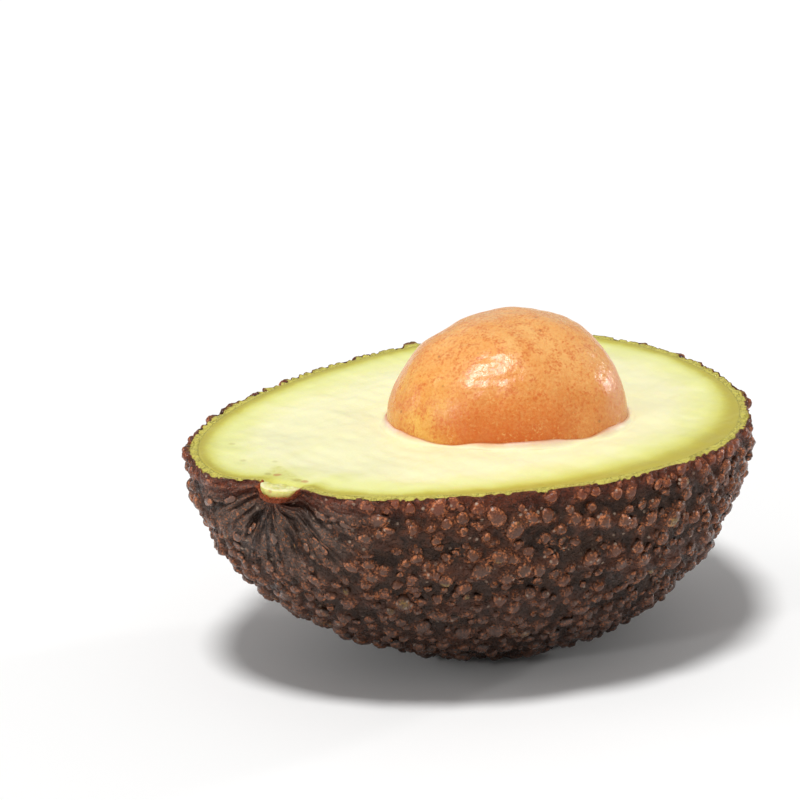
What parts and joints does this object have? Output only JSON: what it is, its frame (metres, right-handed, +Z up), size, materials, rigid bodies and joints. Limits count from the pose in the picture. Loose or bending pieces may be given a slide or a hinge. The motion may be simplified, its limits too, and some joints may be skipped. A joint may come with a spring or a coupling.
{
  "type": "avocado half",
  "caption": "Half of a pebbly-skinned avocado cut lengthwise through the stem end, with its pit still in the flesh, lying on its rounded side with the cut face level.",
  "frame": {"origin": "centre of the bounding box, on the surface that the half lies on", "axes": "+X along the fruit from the stem end to the blossom end, +Y across the cut face, +Z up out of the cut face"},
  "size_m": [0.0954, 0.073, 0.0503],
  "materials": {
    "skin": "dark pebbled rind, waxy sheen on red-brown pebble tops",
    "flesh": "moist cut flesh, cream in the middle and green at the rim",
    "pit": "wet mottled orange-brown seed coat",
    "stem": "cut woody stalk, pale and dry"
  },
  "bodies": {
    "root": {"skin": "skin", "flesh": "flesh", "pit": "pit", "stem_plug": "stem"}
  },
  "joints": []
}
